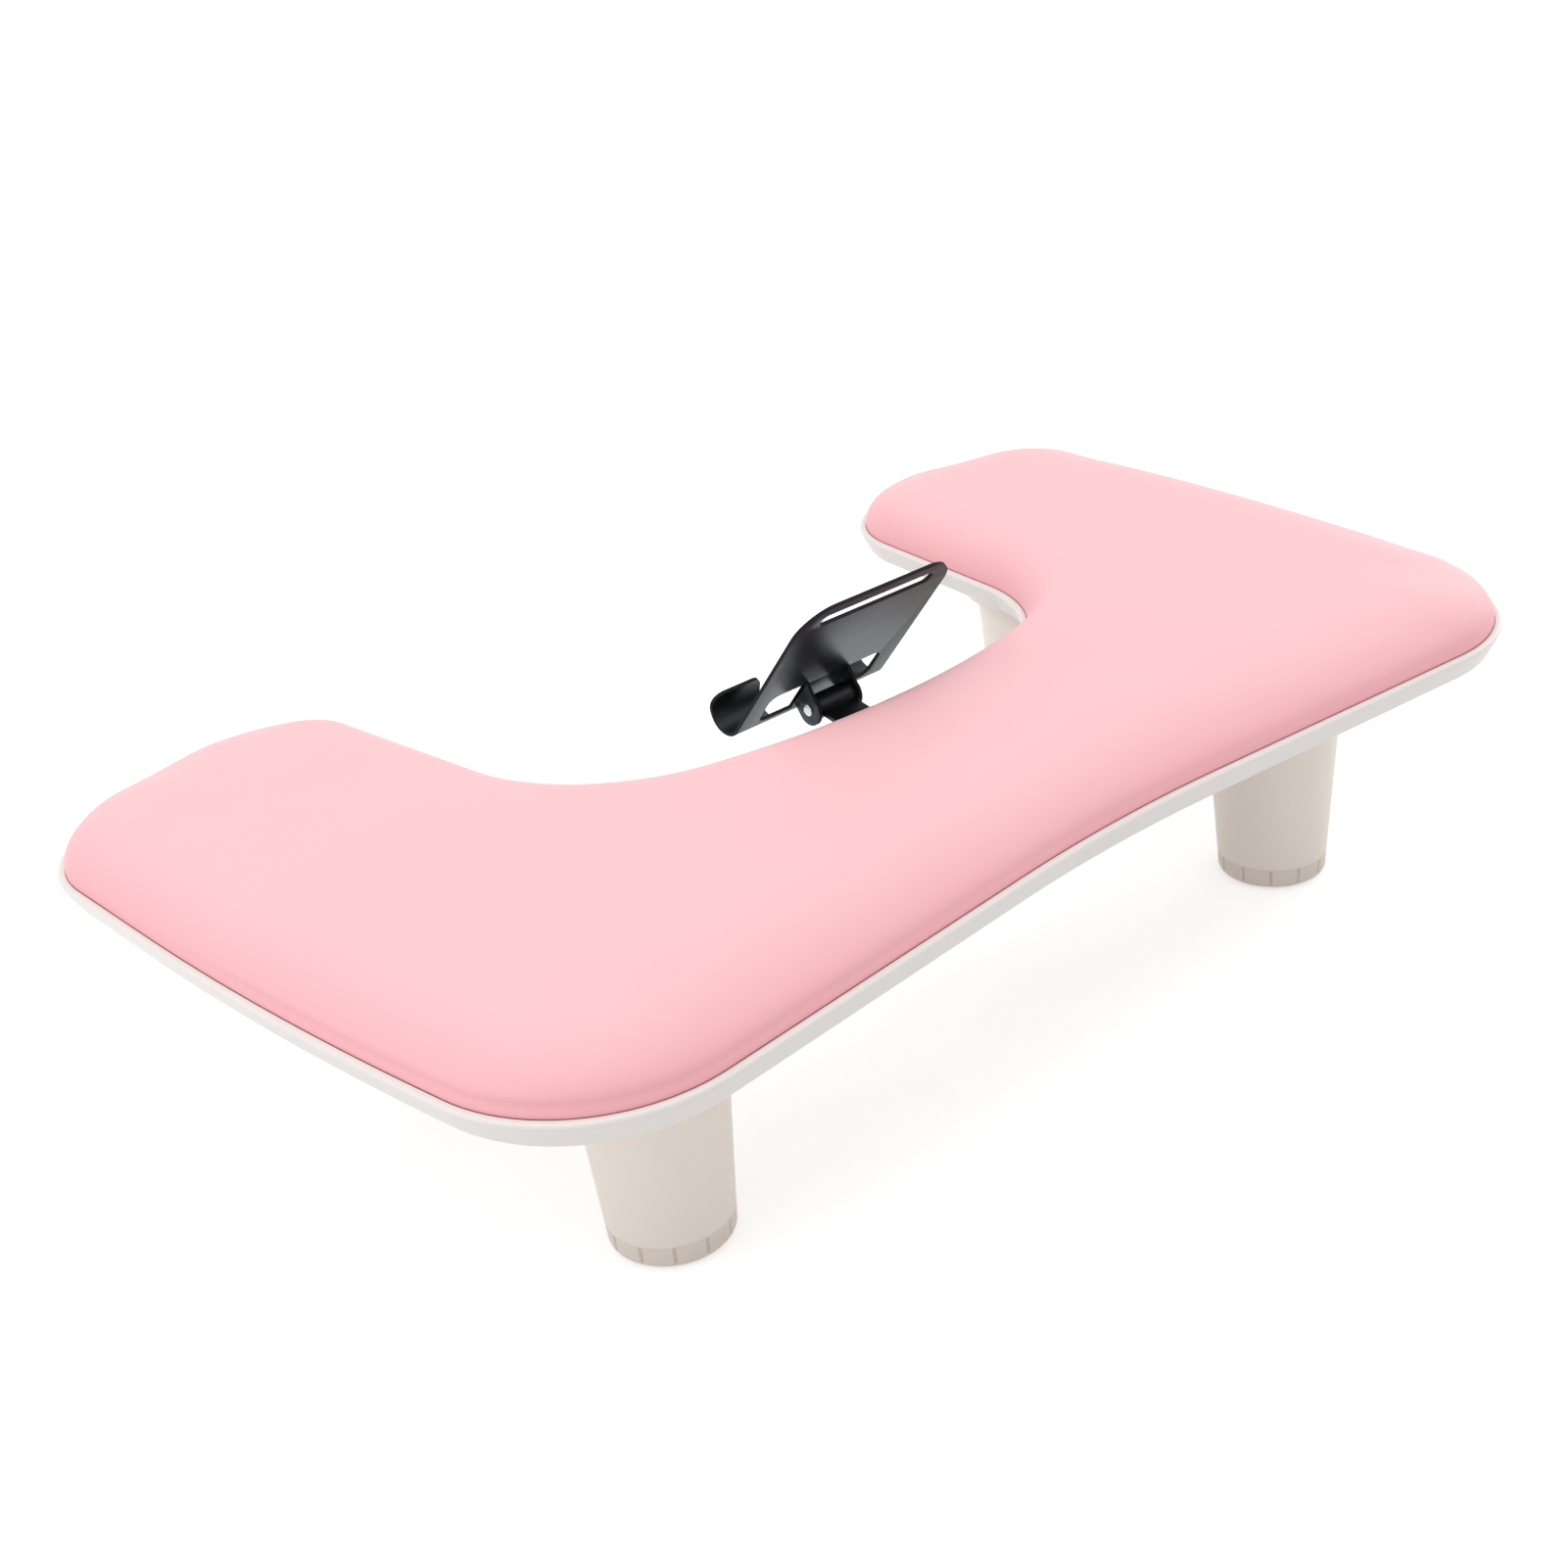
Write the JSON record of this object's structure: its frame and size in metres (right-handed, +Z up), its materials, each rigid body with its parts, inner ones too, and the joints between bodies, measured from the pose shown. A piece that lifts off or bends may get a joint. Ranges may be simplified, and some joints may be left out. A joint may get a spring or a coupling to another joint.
{
  "type": "manicure armrest",
  "caption": "Butterfly-shaped crowned cushion in a round-rimmed plastic tray on drafted tube legs, with a hinged sheet-steel phone rest in its cut-out.",
  "frame": {"origin": "on the table, under the middle of the tray's rim", "axes": "+X along the length, +Y toward the cut-out's mouth, +Z up"},
  "size_m": [0.546, 0.3298, 0.172],
  "materials": {
    "tray_plastic": "satin off-white moulded plastic",
    "cap_plastic": "satin warm white moulded plastic",
    "foot_rubber": "matte grey rubber",
    "board_wood": "raw plywood",
    "foam": "open-cell foam",
    "cover_leather": "smooth pink imitation leather",
    "screw_steel": "zinc plated",
    "rest_steel": "satin black powder coat",
    "pin_steel": "bright riveted end",
    "washer_nylon": "black nylon"
  },
  "bodies": {
    "armrest": {"base_tray": "tray_plastic", "foot_cap_front_left": "cap_plastic", "foot_cap_front_right": "cap_plastic", "foot_cap_back_left": "cap_plastic", "foot_cap_back_right": "cap_plastic", "foot_pad_front_left": "foot_rubber", "foot_pad_front_right": "foot_rubber", "foot_pad_back_left": "foot_rubber", "foot_pad_back_right": "foot_rubber", "cushion_board": "board_wood", "cushion_foam": "foam", "cushion_cover": "cover_leather", "cushion_screw_1": "screw_steel", "cushion_screw_2": "screw_steel", "cushion_screw_3": "screw_steel", "cushion_screw_4": "screw_steel", "cushion_screw_5": "screw_steel", "cushion_screw_6": "screw_steel", "cushion_screw_7": "screw_steel", "cushion_screw_8": "screw_steel", "phone_arm": "rest_steel", "arm_screw_left": "screw_steel", "arm_screw_right": "screw_steel", "hinge_washer_left": "washer_nylon", "hinge_washer_right": "washer_nylon"},
    "phone_rest": {"phone_plate": "rest_steel", "hinge_pin": "pin_steel"}
  },
  "joints": [
    {"name": "phone_tilt", "type": "hinge", "parent": "armrest", "child": "phone_rest", "pos_m": [0, -0.00076, 0.1142], "axis": [1, 0, 0], "range_deg": [-125, 35]}
  ]
}
